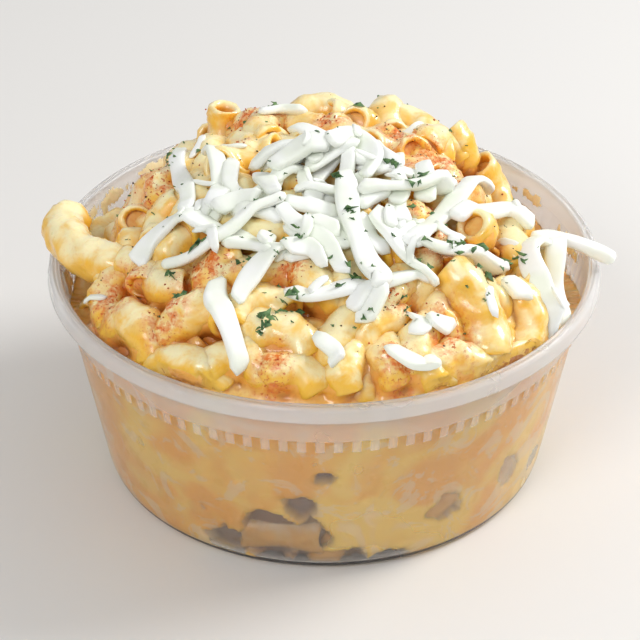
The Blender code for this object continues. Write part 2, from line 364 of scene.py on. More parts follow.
class Bunch:
    """Points and faces of many small shapes, gathered into one mesh."""

    def __init__(self):
        self.points = []
        self.faces = []
        self.shade_depth = []
        self.count = 0

    def add(self, points, faces, shade_depth):
        self.points.append(np.asarray(points))
        self.faces += [tuple(int(i) + self.count for i in face) for face in faces]
        self.shade_depth.append(np.asarray(shade_depth))
        self.count += len(points)

    def make(self, name, made_of):
        points = np.concatenate(self.points)
        return make_piece(name, points, self.faces, made_of, shade_depth=np.concatenate(self.shade_depth))


def ring_faces(rows, columns, first=0, closed=False):
    """Quads between rows of points, each row a ring of this many columns."""
    faces = []
    for i in range(rows if closed else rows - 1):
        here = first + i * columns
        above = first + (i + 1) % rows * columns
        for k in range(columns):
            after = (k + 1) % columns
            faces.append((here + k, here + after, above + after, above + k))
    return faces


# --- The tub -----------------------------------------------------------------------------------------


def wall_outside(z):
    slope = (53.75 * MM - BASE_RADIUS) / (TEETH_FOOT - BASE_ROUND)
    return BASE_RADIUS + slope * (z - BASE_ROUND)


def wall_inside(z):
    heights = (FLOOR, 1.5 * MM, BASE_ROUND + WALL, TEETH_FOOT, 44 * MM, RIM_Z)
    radii = (44.6 * MM, 46.6 * MM, 47.4 * MM, 53.05 * MM, 55.2 * MM, 55.75 * MM)
    return np.interp(z, heights, radii)


def softened(corners, rounding, steps=3):
    """The outline with each corner turned into a short curve."""
    corners = [Vector(c) for c in corners]
    outline = [corners[0]]
    for before, corner, after in zip(corners, corners[1:], corners[2:]):
        room = min((corner - before).length, (after - corner).length) * 0.45
        reach = min(rounding, room)
        enter = corner + (before - corner).normalized() * reach
        leave = corner + (after - corner).normalized() * reach
        for k in range(steps + 1):
            t = k / steps
            outline.append(enter * (1 - t) ** 2 + corner * 2 * t * (1 - t) + leave * t**2)
    outline.append(corners[-1])
    return outline


def make_tub(wall_plastic, band_plastic, rim_plastic):
    """The lathe-turned tub, its stacking teeth pushed out between the foot and the top of the tooth row."""
    top = RIM_Z
    wide = RIM_RADIUS
    corners = [
        (0.0, 0.0),
        (45.1 * MM, 0.0),
        (47.4 * MM, 0.7 * MM),
        (BASE_RADIUS, BASE_ROUND),
        (wall_outside(TEETH_FOOT - 1.0 * MM), TEETH_FOOT - 1.0 * MM),
    ]
    tooth_rows = np.linspace(TEETH_FOOT - 0.4 * MM, TEETH_TOP + 0.3 * MM, 14)
    band = [(wall_outside(z), z) for z in tooth_rows]
    above = [
        (wall_outside(43 * MM) + TOOTH_PROUD, 43 * MM),
        (wide - 2.4 * MM, top - 1.2 * MM),
        (wide - 1.3 * MM, top - 1.2 * MM),
        (wide - 0.7 * MM, top - 3.4 * MM),
        (wide, top - 3.4 * MM),
        (wide - 0.45 * MM, top - 0.8 * MM),
        (wide - 1.2 * MM, top),
        (wide - 1.85 * MM, top - 0.5 * MM),
        (wide - 2.35 * MM, top - 0.05 * MM),
        (wide - 2.75 * MM, top - 0.4 * MM),
        (float(wall_inside(44 * MM)), 44 * MM),
        (float(wall_inside(TEETH_FOOT)), TEETH_FOOT),
        (47.4 * MM, BASE_ROUND + WALL),
        (46.6 * MM, 1.5 * MM),
        (44.6 * MM, FLOOR),
        (0.0, FLOOR),
    ]
    outline = softened(corners, 0.8 * MM)[1:] + [Vector(p) for p in band] + softened(above, 0.35 * MM)[:-1]
    columns = TEETH * 6
    turns = 2 * math.pi * np.arange(columns) / columns
    phase = np.arange(columns) % 6 / 6
    tooth = np.clip(1.3 * np.sin(2 * math.pi * phase) + 0.2, 0, 1)
    points = []
    for radius, z in outline:
        out = np.full(columns, radius)
        if TEETH_FOOT - 0.5 * MM < z < TEETH_TOP + 0.5 * MM and radius < wall_outside(z) + 0.1 * MM:
            full = np.clip((z - TEETH_FOOT) / (0.5 * MM), 0, 1)
            joined = np.clip((z - TEETH_TOP + 0.3 * MM) / (0.4 * MM), 0, 1)
            out = out + TOOTH_PROUD * np.maximum(0.75 * tooth * math.sin(full * math.pi / 2), joined)
        points.append(np.stack([out * np.cos(turns), out * np.sin(turns), np.full(columns, z)], axis=1))
    rows = len(points)
    points = np.concatenate(points)
    faces = ring_faces(rows, columns)
    under = len(points)
    points = np.vstack([points, [(0, 0, 0), (0, 0, FLOOR)]])
    last = (rows - 1) * columns
    for k in range(columns):
        after = (k + 1) % columns
        faces.append((after, k, under))
        faces.append((last + k, last + after, under + 1))
    made = make_piece("tub", points, faces, wall_plastic)
    made.data.materials.append(band_plastic)
    made.data.materials.append(rim_plastic)
    for face in made.data.polygons:
        z = face.center.z
        column = math.atan2(face.center.y, face.center.x) / (2 * math.pi) * TEETH % 1
        if z > RIM_Z - RIM_DEPTH:
            face.material_index = 2
        elif z > TEETH_TOP or (z > TEETH_FOOT and column < 0.5):
            face.material_index = 1
    return made


# --- The shape of the heap ---------------------------------------------------------------------------


def round_the_tub(azimuth, values):
    degrees = np.degrees(azimuth) % 360
    return np.interp(degrees, AZIMUTHS + (360,), values + values[:1]) * MM


def dome(x, y):
    """The mound that the elbows make: steeper at the back, a trough between it and the wall."""
    azimuth = np.arctan2(y, x)
    level = RIM_Z - round_the_tub(azimuth, FILL_DEPTHS)
    foot = wall_inside(level) - 0.3 * MM - round_the_tub(azimuth, TROUGH_WIDTHS)
    outward = np.minimum(np.hypot(x, y) / foot, 1)
    front, back = HEAP_STEEPNESS
    power = front + (back - front) * (1 + np.sin(azimuth)) / 2
    return level + (RIM_Z + HEAP_OVER_RIM - level) * (1 - outward**power)


def dome_normal(x, y):
    step = 1 * MM
    across = (dome(x + step, y) - dome(x - step, y)) / (2 * step)
    along = (dome(x, y + step) - dome(x, y - step)) / (2 * step)
    return Vector((-across, -along, 1.0)).normalized()


def lumpy(points, middle, coarse, fine, seed):
    """Pushes points in and out from a middle line by soft noise, as a coat of sauce does."""
    spot = middle[np.argmin(((points[:, None] - middle[None]) ** 2).sum(axis=2), axis=1)]
    out = points - spot
    out /= np.linalg.norm(out, axis=1)[:, None] + 1e-9
    push = np.empty(len(points))
    for i, point in enumerate(points):
        place = Vector(point) / MM + Vector((seed, 0, 0))
        push[i] = coarse * lumps.noise(place / 3.6) + fine * lumps.noise(place / 1.3)
    return points + out * (push * MM)[:, None]


class Ground:
    """A height map of what lies on the heap so far, which shreds and herbs are laid on."""

    def __init__(self):
        self.step = 0.4 * MM
        self.reach = 66 * MM
        self.side = int(2 * self.reach / self.step) + 1
        line = np.linspace(-self.reach, self.reach, self.side)
        x, y = np.meshgrid(line, line, indexing="ij")
        self.height = np.where(np.hypot(x, y) < 55 * MM, dome(x, y) - 3 * MM, RIM_Z - 8 * MM)

    def index(self, values):
        return np.clip(np.round((values + self.reach) / self.step).astype(int), 0, self.side - 1)

    def read(self, x, y):
        return self.height[self.index(x), self.index(y)]

    def lay(self, points, faces):
        """Raises the ground to the four-sided ones of these faces, sampled closely to leave no gap."""
        first, second, third, fourth = points[[face for face in faces if len(face) == 4]].transpose(1, 0, 2)
        for across in np.linspace(0, 1, 5):
            near = first * (1 - across) + second * across
            far = fourth * (1 - across) + third * across
            for along in np.linspace(0, 1, 5):
                at = near * (1 - along) + far * along
                np.maximum.at(self.height, (self.index(at[:, 0]), self.index(at[:, 1])), at[:, 2])

    def smoothed(self, half):
        """The heights averaged over squares of this half width."""
        reach = int(half / self.step)
        level = self.height
        for _ in range(2):
            padded = np.pad(level, ((reach + 1, reach), (0, 0)), mode="edge").cumsum(axis=0)
            level = ((padded[2 * reach + 1 :] - padded[: -2 * reach - 1]) / (2 * reach + 1)).T
        return level


# Where paprika fell thickest: (x, y, reach) in mm.
DUSTED = (
    (-12, 24, 6),
    (-17, 22, 5),
    (-19, 8, 4),
    (2, 16, 5),
    (16, 12, 6),
    (24, 6, 7),
    (21, -3, 7),
    (28, -2, 5),
    (15, -21, 6),
    (18, -14, 6),
    (23, -24, 7),
    (13, -38, 5),
    (-7, -33, 4),
    (-23, -30, 7),
    (-38, 15, 5),
    (-36, 5, 5),
    (-42, -26, 7),
    (-31, -38, 5),
    (24, -43, 6),
    (-10, -52, 4),
    (14, -51, 4),
)


def weather(made, ground):
    """Marks painted shade in the hollows between the elbows, brown deeper down, and the places where
    paprika fell.
    """
    at = points_of(made.data)
    level = ground.smoothed(2.4 * MM)
    around = level[ground.index(at[:, 0]), ground.index(at[:, 1])]
    below = around - at[:, 2]
    # Painted shade: tan in the hollows, and brown where a point lies deeper still.
    mark(made.data, "hollow_shade", np.clip((below + 0.3 * MM) / (2.4 * MM), 0, 1))
    shade_depth = np.zeros(len(at), np.float32)
    made.data.attributes["shade_depth"].data.foreach_get("value", shade_depth)
    mark(made.data, "shade_depth", np.maximum(shade_depth, np.clip((below - 1.6 * MM) / (2.4 * MM), 0, 0.85)))
    dust = np.zeros(len(at))
    for x, y, reach in DUSTED:
        away = np.hypot(at[:, 0] / MM - x, at[:, 1] / MM - y) / reach
        dust = np.maximum(dust, np.clip(1.5 - 1.2 * away, 0, 1))
    mark(made.data, "dust", dust)


# --- Elbows ------------------------------------------------------------------------------------------

ALONG = 22
AROUND = 16


def elbow_line(length, bend, count):
    """The middle line of a bent tube, its middle at the origin, its ends towards -Y."""
    share = np.linspace(-0.5, 0.5, count)
    if abs(bend) < 0.02:
        return np.stack([share * length, 0 * share, 0 * share], axis=1)
    radius = length / bend
    turn = share * bend
    return np.stack([radius * np.sin(turn), radius * (np.cos(turn) - 1), 0 * share], axis=1)


def tube(line, radius, bore, chance, around=AROUND):
    """An open tube of pasta along a line: its skin, its bore and rounded ends, a little uneven all over."""
    count = len(line)
    forward = np.gradient(line, axis=0)
    forward /= np.linalg.norm(forward, axis=1)[:, None]
    up = np.array((0.0, 0.0, 1.0)) if abs(forward[:, 2]).max() < 0.9 else np.array((0.0, 1.0, 0.0))
    side = np.cross(np.tile(up, (count, 1)), forward)
    side /= np.linalg.norm(side, axis=1)[:, None]
    over = np.cross(forward, side)
    turns = 2 * math.pi * np.arange(around) / around
    wobble = chance.normal(0, 0.025, (3, 2))
    rows = []

    def row(i, r, push=0.0):
        share = i / (count - 1)
        uneven = 1 + wobble[0, 0] * np.cos(2 * turns + 3 * share)
        uneven = uneven + wobble[1, 0] * np.cos(turns + 5 * share + 1)
        swell = 1 + 0.05 * math.sin(4 * share + 10 * wobble[2, 0]) * 0.6
        reach = r * uneven * swell
        return (
            line[i]
            + forward[i] * push
            + side[i] * (reach * np.cos(turns))[:, None]
            + over[i] * (reach * np.sin(turns))[:, None]
        )

    lip = (radius - bore) * 0.5
    middle = (radius + bore) / 2
    for share in (0.0, 0.35, 0.75):
        outward = middle + lip * math.sin(share * math.pi / 2)
        rows.append(row(0, outward, -lip * math.cos(share * math.pi / 2)))
    for i in range(1, count - 1):
        rows.append(row(i, radius))
    for share in (0.75, 0.35, 0.0):
        outward = middle + lip * math.sin(share * math.pi / 2)
        rows.append(row(count - 1, outward, lip * math.cos(share * math.pi / 2)))
    skin = len(rows)
    for share in (0.5, 1.0):
        outward = middle - lip * math.sin(share * math.pi / 2)
        rows.append(row(count - 1, outward, lip * math.cos(share * math.pi / 2)))
    for i in range(count - 2, 0, -3):
        rows.append(row(i, bore))
    for share in (1.0, 0.5):
        outward = middle - lip * math.sin(share * math.pi / 2)
        rows.append(row(0, outward, -lip * math.cos(share * math.pi / 2)))
    # Painted shade: the bore darkens from its ends inward.
    shade_depth = np.zeros(len(rows))
    inner = len(rows) - skin
    for i in range(inner):
        to_end = min(i, inner - 1 - i)
        shade_depth[skin + i] = min(0.25 * to_end, 0.85)
    faces = ring_faces(len(rows), around, closed=True)
    return np.concatenate(rows), faces, np.repeat(shade_depth, around)


def turned(points, place):
    matrix = np.array(place)
    return points @ matrix[:3, :3].T + matrix[:3, 3]


def placing(x, y, lift, heading, roll, tilt):
    """The matrix that sets an elbow on the mound. roll 90 makes an arch, -90 a cup, 0 lies flat."""
    normal = dome_normal(x, y)
    lean = Vector((0, 0, 1)).rotation_difference(normal).to_matrix().to_4x4()
    spin = Matrix.Rotation(math.radians(heading), 4, "Z")
    pitch = Matrix.Rotation(math.radians(tilt), 4, "Y")
    twist = Matrix.Rotation(math.radians(roll), 4, "X")
    z = float(dome(x, y)) + lift
    return Matrix.Translation((x, y, z)) @ lean @ spin @ pitch @ twist


# The elbows that stand out: (x, y, lift over the mound) in mm, (heading, roll, tilt) and bend in degrees,
# length and tube radius in mm.
SHOWN_ELBOWS = (
    (-22, 26, 1.4, 20, 15, -68, 60, 13, 3.5),
    (-16, 24, 2.6, 160, 60, 10, 120, 13, 3.6),
    (-13, 20, 2.0, 70, 20, 0, 120, 15, 3.9),
    (-17, 6, 1.0, 30, -30, 10, 110, 15, 4.0),
    (-1, 30, 2.8, 5, 70, 0, 150, 17, 4.2),
    (14, 29, 4.4, 80, 75, 0, 160, 14, 4.0),
    (20, 25, 3.6, -30, 40, 10, 120, 13, 3.8),
    (24, 18, 3.2, 40, 30, 5, 110, 14, 3.9),
    (30, 20, 2.2, 215, 20, -48, 120, 14, 3.4),
    (37, 20, 1.5, -30, 10, 15, 90, 14, 3.7),
    (31, -16, 1.8, 250, 20, -58, 90, 11, 3.9),
    (38, -10, 0.8, 100, -20, -15, 120, 13, 3.8),
    (30, -35, 2.6, -52, 20, 8, 50, 19, 4.7),
    (41, -30, 0.8, -70, 30, 10, 100, 15, 4.1),
    (38, -41, 0.6, 25, 20, 0, 90, 14, 4.0),
    (4, -49, 1.2, 75, 50, 12, 120, 11, 3.7),
    (-6, -50, 0.6, -15, 20, 10, 100, 12, 3.9),
    (-9, -44, 1.6, -14, 35, 0, 110, 14, 4.3),
    (3, -44, 1.0, 60, 20, 0, 100, 12, 4.0),
    (-14, -47, 1.0, 105, 40, 8, 110, 10, 3.6),
    (-21, -47, 0.4, 25, 30, 0, 100, 13, 4.0),
    (-26, -37, 1.6, 10, 60, 0, 150, 17, 4.3),
    (-27, -46, 1.2, -25, 50, 0, 120, 16, 4.4),
    (-37, -33, 1.4, -50, 40, 0, 130, 16, 4.4),
    (-44, -22, 0.8, 80, 20, 0, 120, 15, 4.0),
    (-48, 20, 0.8, 60, 20, 0, 110, 13, 3.5),
    (-37, 12, 2.0, 15, 40, 0, 140, 16, 4.1),
    (-41, 4, 1.5, -10, 0, -20, 100, 15, 4.0),
    (-31, 28, 1.5, 120, 40, 0, 120, 15, 3.9),
    (18, -44, 1.4, 70, 40, 8, 110, 12, 3.9),
    (12, -48, 1.4, 100, 60, 14, 120, 10, 3.6),
    (19, -48, 0.8, -20, 20, 0, 100, 11, 3.8),
    (26, -45, 0.8, 15, 20, 0, 90, 13, 4.0),
    (33, -40, 0.8, 80, 40, 10, 110, 11, 3.7),
)


PLACES_TRIED = 1500
ELBOW_ROOM = 6.4 * MM


def scattered_elbows(chance):
    """Two layers of elbows over the rest of the mound; the upper one keeps clear of the shown elbows."""
    layers = []
    for upper in (True, False):
        near = [(e[0] * MM, e[1] * MM) for e in SHOWN_ELBOWS] if upper else []
        found = []
        for _ in range(PLACES_TRIED):
            outward = 52 * MM * math.sqrt(chance.random())
            around = chance.uniform(0, 2 * math.pi)
            x = outward * math.cos(around)
            y = outward * math.sin(around)
            room = wall_inside(RIM_Z) - 4.5 * MM - round_the_tub(around, TROUGH_WIDTHS)
            if outward > room or any(math.hypot(x - a, y - b) < ELBOW_ROOM for a, b in near):
                continue
            near.append((x, y))
            lift = chance.uniform(-0.8, 1.2) if upper else chance.uniform(-6.0, -4.0)
            found.append(
                (
                    x / MM,
                    y / MM,
                    lift,
                    chance.uniform(0, 360),
                    chance.choice((20, 60, 85, -20)) + chance.uniform(-15, 15),
                    chance.uniform(-15, 15),
                    chance.uniform(90, 165),
                    chance.uniform(11.5, 15.5),
                    chance.uniform(3.5, 4.4),
                )
            )
        layers.append(found)
    return layers


def keep_inside(points):
    """Draws points in to the wall where they would pass it below the rim."""
    outward = np.hypot(points[:, 0], points[:, 1])
    most = wall_inside(points[:, 2]) - 0.1 * MM
    most = np.where(points[:, 2] > RIM_Z + 3 * MM, 57 * MM, most)
    shrink = np.minimum(1, most / np.maximum(outward, 1e-6))
    drawn = points.copy()
    drawn[:, :2] *= shrink[:, None]
    return drawn


def make_elbows(rows, name, made_of, ground, stuffing, chance):
    bunch = Bunch()
    for x, y, lift, heading, roll, tilt, bend, length, radius in rows:
        place = placing(x * MM, y * MM, lift * MM, heading, roll, tilt)
        line = elbow_line(length * MM, math.radians(bend), ALONG)
        points, faces, shade_depth = tube(line, radius * MM, 0.6 * radius * MM, chance)
        points = turned(points, place)
        middle = turned(elbow_line(length * MM, math.radians(bend), 12), place)
        skin = shade_depth == 0
        points[skin] = lumpy(points[skin], middle, 0.95, 0.34, len(bunch.points))
        points = keep_inside(points)
        # Painted shade: brown where the tube sinks under the mound.
        low = np.clip((dome(points[:, 0], points[:, 1]) - 2.5 * MM - points[:, 2]) / (5 * MM), 0, 1)
        bunch.add(points, faces, np.maximum(shade_depth, low))
        sagged = turned(elbow_line(length * MM, math.radians(bend), 9), place) - (0, 0, SAUCE_SAG)
        stuffing.append((sagged, (radius + 0.1) * MM))
        ground.lay(points, faces)
    return bunch.make(name, made_of)


# --- Sauce -------------------------------------------------------------------------------------------


# Air pockets against the wall, where the sauce draws back and is darkened with painted shade: (azimuth in
# degrees, height in mm, half width in degrees, half height in mm).
WALL_GAPS = (
    (-101, 8, 13, 9.0),
    (-90, 2.5, 15, 3.5),
    (-111, 4, 9, 4.0),
    (-97, 18, 5, 3.0),
    (-74, 2, 6, 2.0),
    (-90, 27, 3, 2.0),
    (-60, 13, 4, 3.0),
    (-40, 15, 3, 4.0),
    (-25, 10, 4, 3.0),
    (150, 5, 12, 4.0),
    (70, 4, 10, 3.0),
    (30, 8, 6, 3.0),
    (105, 16, 5, 4.0),
)

# Elbows in those pockets: (azimuth in degrees, height in mm, tilt from level, bend, length and radius).
WALL_ELBOWS = (
    (-101, 7.5, 4, 75, 17, 4.2),
    (-88, 5.0, 70, 60, 12, 3.6),
    (-60, 13, 30, 80, 14, 3.6),
    (-38, 15, 60, 80, 14, 3.6),
    (150, 6, 10, 80, 15, 3.9),
    (70, 5, -15, 80, 15, 3.9),
    (105, 15, 50, 80, 14, 3.7),
)


def make_wall_elbows(made_of, chance):
    bunch = Bunch()
    for turn, height, tilt, bend, length, radius in WALL_ELBOWS:
        out = wall_inside(height * MM) - (radius + 0.5) * MM
        place = (
            Matrix.Rotation(math.radians(turn), 4, "Z")
            @ Matrix.Translation((out, 0, height * MM))
            @ Matrix.Rotation(math.radians(-90), 4, "Z")
            @ Matrix.Rotation(math.radians(tilt), 4, "Y")
            @ Matrix.Rotation(math.radians(180), 4, "X")
        )
        line = elbow_line(length * MM, math.radians(bend) * 0.5, ALONG)
        points, faces, shade_depth = tube(line, radius * MM, 0.6 * radius * MM, chance)
        points = turned(points, place)
        outward = np.hypot(points[:, 0], points[:, 1])
        shrink = np.minimum(1, (wall_inside(points[:, 2]) - 0.25 * MM) / outward)
        points[:, :2] *= shrink[:, None]
        points[:, 2] = np.maximum(points[:, 2], FLOOR + 0.2 * MM)
        # Painted shade: the elbows in the air gaps get at least 0.35 of the brown.
        bunch.add(points, faces, np.maximum(shade_depth, 0.35))
    return bunch.make("elbows_by_wall", made_of)


# Thin films of sauce left on the bare wall: (azimuth, height, half width in degrees, half height in mm).
SMEARS = (
    (150, 44.5, 12, 2.6),
    (132, 45.5, 9, 1.6),
    (168, 43.5, 9, 3.0),
    (182, 41, 7, 3.5),
    (12, 42, 8, 2.2),
    (34, 43.5, 6, 1.8),
)


def make_smears(made_of):
    """Sheets of sauce with ragged edges, a quarter of a millimetre off the wall."""
    bunch = Bunch()
    step = 0.25 * MM
    for turn, height, wide, tall in SMEARS:
        columns = int(2 * math.radians(wide) * 55 * MM / step)
        levels = int(2 * tall * MM / step)
        across = np.radians(turn) + np.radians(wide) * np.linspace(-1, 1, columns)
        up = height * MM + tall * MM * np.linspace(-1, 1, levels)
        points = []
        kept = []
        for j, z in enumerate(up):
            for i, angle in enumerate(across):
                away = math.hypot(2 * i / (columns - 1) - 1, 2 * j / (levels - 1) - 1)
                place = Vector((angle * 18, z / (4 * MM), turn))
                cover = 0.75 - away + 0.9 * lumps.noise(place) + 0.4 * lumps.noise(place * 3)
                kept.append(cover > 0)
                out = float(wall_inside(z)) - (0.1 + 0.35 * min(max(cover, 0), 0.6)) * MM
                points.append((out * math.cos(angle), out * math.sin(angle), z))
        faces = []
        for j in range(levels - 1):
            for i in range(columns - 1):
                at = j * columns + i
                corners = (at, at + columns, at + columns + 1, at + 1)
                if all(kept[c] for c in corners):
                    faces.append(corners)
        bunch.add(np.array(points), faces, np.zeros(len(points)))
    return bunch.make("sauce_smears", made_of)


SAUCE_VOXEL = 0.85 * MM
SAUCE_SOFTENING = 7


def make_sauce(stuffing, made_of):
    """The sauce and all that is sunk in it: a filled tub whose top wraps round the elbows in fillets."""
    rings = 60
    columns = 180
    turns = 2 * math.pi * np.arange(columns) / columns
    rows = []
    for k in range(1, rings + 1):
        level = RIM_Z - round_the_tub(turns, FILL_DEPTHS)
        out = wall_inside(level) * k / rings
        x = out * np.cos(turns)
        y = out * np.sin(turns)
        sunk = SAUCE_DEPTH * np.clip((1 - k / rings) * 8, 0, 1)
        rows.append(np.stack([x, y, dome(x, y) - sunk], axis=1))
    for z in (TEETH_FOOT, BASE_ROUND + WALL, 1.5 * MM, FLOOR - 0.1 * MM):
        out = wall_inside(z)
        rows.append(np.stack([out * np.cos(turns), out * np.sin(turns), np.full(columns, z)], axis=1))
    points = np.concatenate(rows)
    faces = [face[::-1] for face in ring_faces(len(rows), columns)]
    top = len(points)
    points = np.vstack([points, [(0, 0, float(dome(0, 0)) - SAUCE_DEPTH), (0, 0, FLOOR - 0.1 * MM)]])
    last = (len(rows) - 1) * columns
    for k in range(columns):
        after = (k + 1) % columns
        faces.append((k, after, top))
        faces.append((last + after, last + k, top + 1))
    bunch = Bunch()
    bunch.add(points, faces, np.zeros(len(points)))
    for line, radius in stuffing:
        solid_points, solid_faces, shade_depth = rod(line, radius)
        bunch.add(keep_inside(solid_points), solid_faces, shade_depth)
    sauce = bunch.make("sauce", made_of)
    remesh = sauce.modifiers.new("one_body", "REMESH")
    remesh.mode = "VOXEL"
    remesh.voxel_size = SAUCE_VOXEL
    smooth = sauce.modifiers.new("soft", "SMOOTH")
    smooth.factor = 0.5
    smooth.iterations = SAUCE_SOFTENING
    graph = bpy.context.evaluated_depsgraph_get()
    shaped = bpy.data.meshes.new_from_object(sauce.evaluated_get(graph))
    sauce.modifiers.clear()
    sauce.data = shaped
    at = points_of(shaped)
    outward = np.hypot(at[:, 0], at[:, 1])
    wall = wall_inside(at[:, 2])
    azimuth = np.arctan2(at[:, 1], at[:, 0])
    level = RIM_Z - round_the_tub(azimuth, FILL_DEPTHS)
    touching = (outward > wall - 1.6 * MM) & (at[:, 2] < level + 0.2 * MM)
    ragged = np.zeros(len(at))
    for i in np.flatnonzero(touching):
        ragged[i] = lumps.noise(Vector(at[i]) / (5 * MM)) + 0.4 * lumps.noise(Vector(at[i]) / (1.6 * MM))
    # The air gaps: the sauce draws back from the wall there and takes a painted shade.
    gaps = np.zeros(len(at))
    for turn, height, wide, tall in WALL_GAPS:
        off = (np.degrees(azimuth) - turn + 180) % 360 - 180
        away = np.hypot(off / wide, (at[:, 2] / MM - height) / tall) + 0.7 * ragged
        gaps = np.maximum(gaps, np.clip(3.2 - 3.2 * away, 0, 1))
    onto = (wall + 0.35 * MM - 2.6 * MM * gaps) / outward
    at[touching, :2] *= onto[touching, None]
    shaped.vertices.foreach_set("co", at.reshape(-1))
    # Painted shade: brown where the sauce lies deep under the mound, but not against the wall.
    below = np.clip((dome(at[:, 0], at[:, 1]) - 2.2 * MM - at[:, 2]) / (3.5 * MM), 0, 0.9)
    below[touching] = 0
    mark(shaped, "shade_depth", below)
    mark(shaped, "through_wall", touching)
    mark(shaped, "gap_shade", gaps)
    shaped.shade_smooth()
    shaped.materials.clear()
    shaped.materials.append(made_of)
    return sauce


def rod(line, radius, around=10):
    """A plain closed rod along a line."""
    forward = np.gradient(line, axis=0)
    forward /= np.linalg.norm(forward, axis=1)[:, None]
    up = np.array((0.0, 0.0, 1.0)) if abs(forward[:, 2]).max() < 0.9 else np.array((0.0, 1.0, 0.0))
    side = np.cross(np.tile(up, (len(line), 1)), forward)
    side /= np.linalg.norm(side, axis=1)[:, None]
    over = np.cross(forward, side)
    turns = 2 * math.pi * np.arange(around) / around
    rows = [
        line[i] + radius * (side[i] * np.cos(turns)[:, None] + over[i] * np.sin(turns)[:, None])
        for i in range(len(line))
    ]
    points = np.concatenate(rows)
    faces = ring_faces(len(line), around)
    faces.append(tuple(range(around))[::-1])
    faces.append(tuple(range(len(points) - around, len(points))))
    return points, faces, np.zeros(len(points))


# --- Shreds ------------------------------------------------------------------------------------------

# Each shred's run over the heap, in plan, as (x, y) in mm, with its width. Later ones lie on earlier ones.
SHREDS = (
    (((-6, -15), (1, -16), (6, -15)), 3.4),
    (((-8, -18), (-3, -20), (3, -21)), 3.4),
    (((-9, -20), (-5, -26), (0, -30), (4, -36)), 3.2),
    (((2, -23), (4, -31)), 3.4),
    (((-3, -25), (3, -28)), 3.2),
    (((-31, 19), (-31, 9), (-28, -8), (-28, -17)), 3.2),
    (((-24, 8), (-21, -6), (-21, -11), (-23, -18)), 3.4),
    (((-38, -23), (-35, -19), (-30, -18), (-24, -21), (-20, -24)), 3.6),
    (((-32, -25), (-26, -27), (-19, -25), (-13, -21), (-8, -19)), 4.0),
    (((-22, -19), (-17, -17), (-13, -18)), 3.4),
    (((-19, -1), (-19, -10), (-15, -12)), 3.0),
    (((-13, -7), (-10, -19)), 3.2),
    (((-15, -4), (-7, -3), (1, -6)), 3.6),
    (((-11, -10), (-5, -7), (1, -6)), 3.4),
    (((-7, 14), (-1, 7), (1, 4)), 3.4),
    (((-6, 4), (1, -2)), 3.0),
    (((-14, 20), (-9, 22), (-4, 20)), 3.0),
    (((-21, -34), (-21, -41), (-18, -47), (-16, -52)), 3.6),
    (((-8, -31), (-13, -35), (-16, -39), (-17, -42)), 3.4),
    (((-11, -26), (-12, -31)), 3.6),
    (((-7, -38), (-3, -40), (4, -39), (9, -38)), 4.2),
    (((5, -44), (9, -40), (17, -35), (21, -35)), 3.6),
    (((7, -46), (12, -41)), 3.4),
    (((-8, -33), (-3, -32), (0, -35)), 3.2),
    (((-2, -48), (2, -51), (2, -53)), 3.6),
    (((16, -42), (19, -44), (17, -47)), 3.4),
    (((20, -44), (25, -42)), 3.6),
    (((12, -50), (19, -53), (21, -50)), 3.4),
    (((10, -21), (13, -27), (17, -33), (22, -36)), 3.6),
    (((7, -16), (17, -14), (25, -9)), 4.0),
    (((13, -22), (17, -22)), 3.2),
    (((34, 4), (24, -16), (19, -26), (17, -30)), 3.6),
    (((19, -31), (28, -27), (36, -22)), 4.2),
    (((41, 12), (42, 4), (40, -6)), 3.8),
    (((26, -19), (31, -13), (37, -6), (43, -8)), 3.6),
    (((26, -22), (26, -27)), 3.2),
    (((36, -27), (40, -31)), 4.0),
    (((4, -9), (5, -24), (8, -33), (11, -39), (9, -41)), 3.6),
    (((1, -7), (6, 1), (10, -5), (8, -12)), 3.4),
    (((47, -8), (42, -16), (42, -23), (47, -32)), 3.8),
    (((48, -9), (47, -18), (49, -26)), 3.6),
)


def smooth_line(points, count):
    """An even run of points on a smooth curve through the given ones."""
    given = np.array(points, float)
    given = np.vstack([2 * given[0] - given[1], given, 2 * given[-1] - given[-2]])
    pieces = len(points) - 1
    line = []
    for share in np.linspace(0, pieces, count):
        k = min(int(share), pieces - 1)
        t = share - k
        a, b, c, d = given[k : k + 4]
        square = (2 * a - 5 * b + 4 * c - d) * t**2
        cube = (3 * b - a - 3 * c + d) * t**3
        line.append(0.5 * (2 * b + (c - a) * t + square + cube))
    return np.array(line)


SETTLING_ROUNDS = 60


def draped(plan, half, ground):
    """Lays a line on the ground: it bridges hollows, and high points may poke into it."""
    steps = (-half, 0, half)
    under = [ground.read(plan[:, 0] + dx, plan[:, 1] + dy) for dx in steps for dy in steps]
    under = np.sort(np.array(under), axis=0)[-4]
    z = under.copy()
    for _ in range(SETTLING_ROUNDS):
        z[1:-1] = np.maximum(under[1:-1] - 0.5 * MM, (z[:-2] + z[2:]) / 2 - 0.02 * MM)
        z[0] = max(under[0] - 0.3 * MM, 2 * z[1] - z[2] - 0.15 * MM)
        z[-1] = max(under[-1] - 0.3 * MM, 2 * z[-2] - z[-3] - 0.15 * MM)
    return z


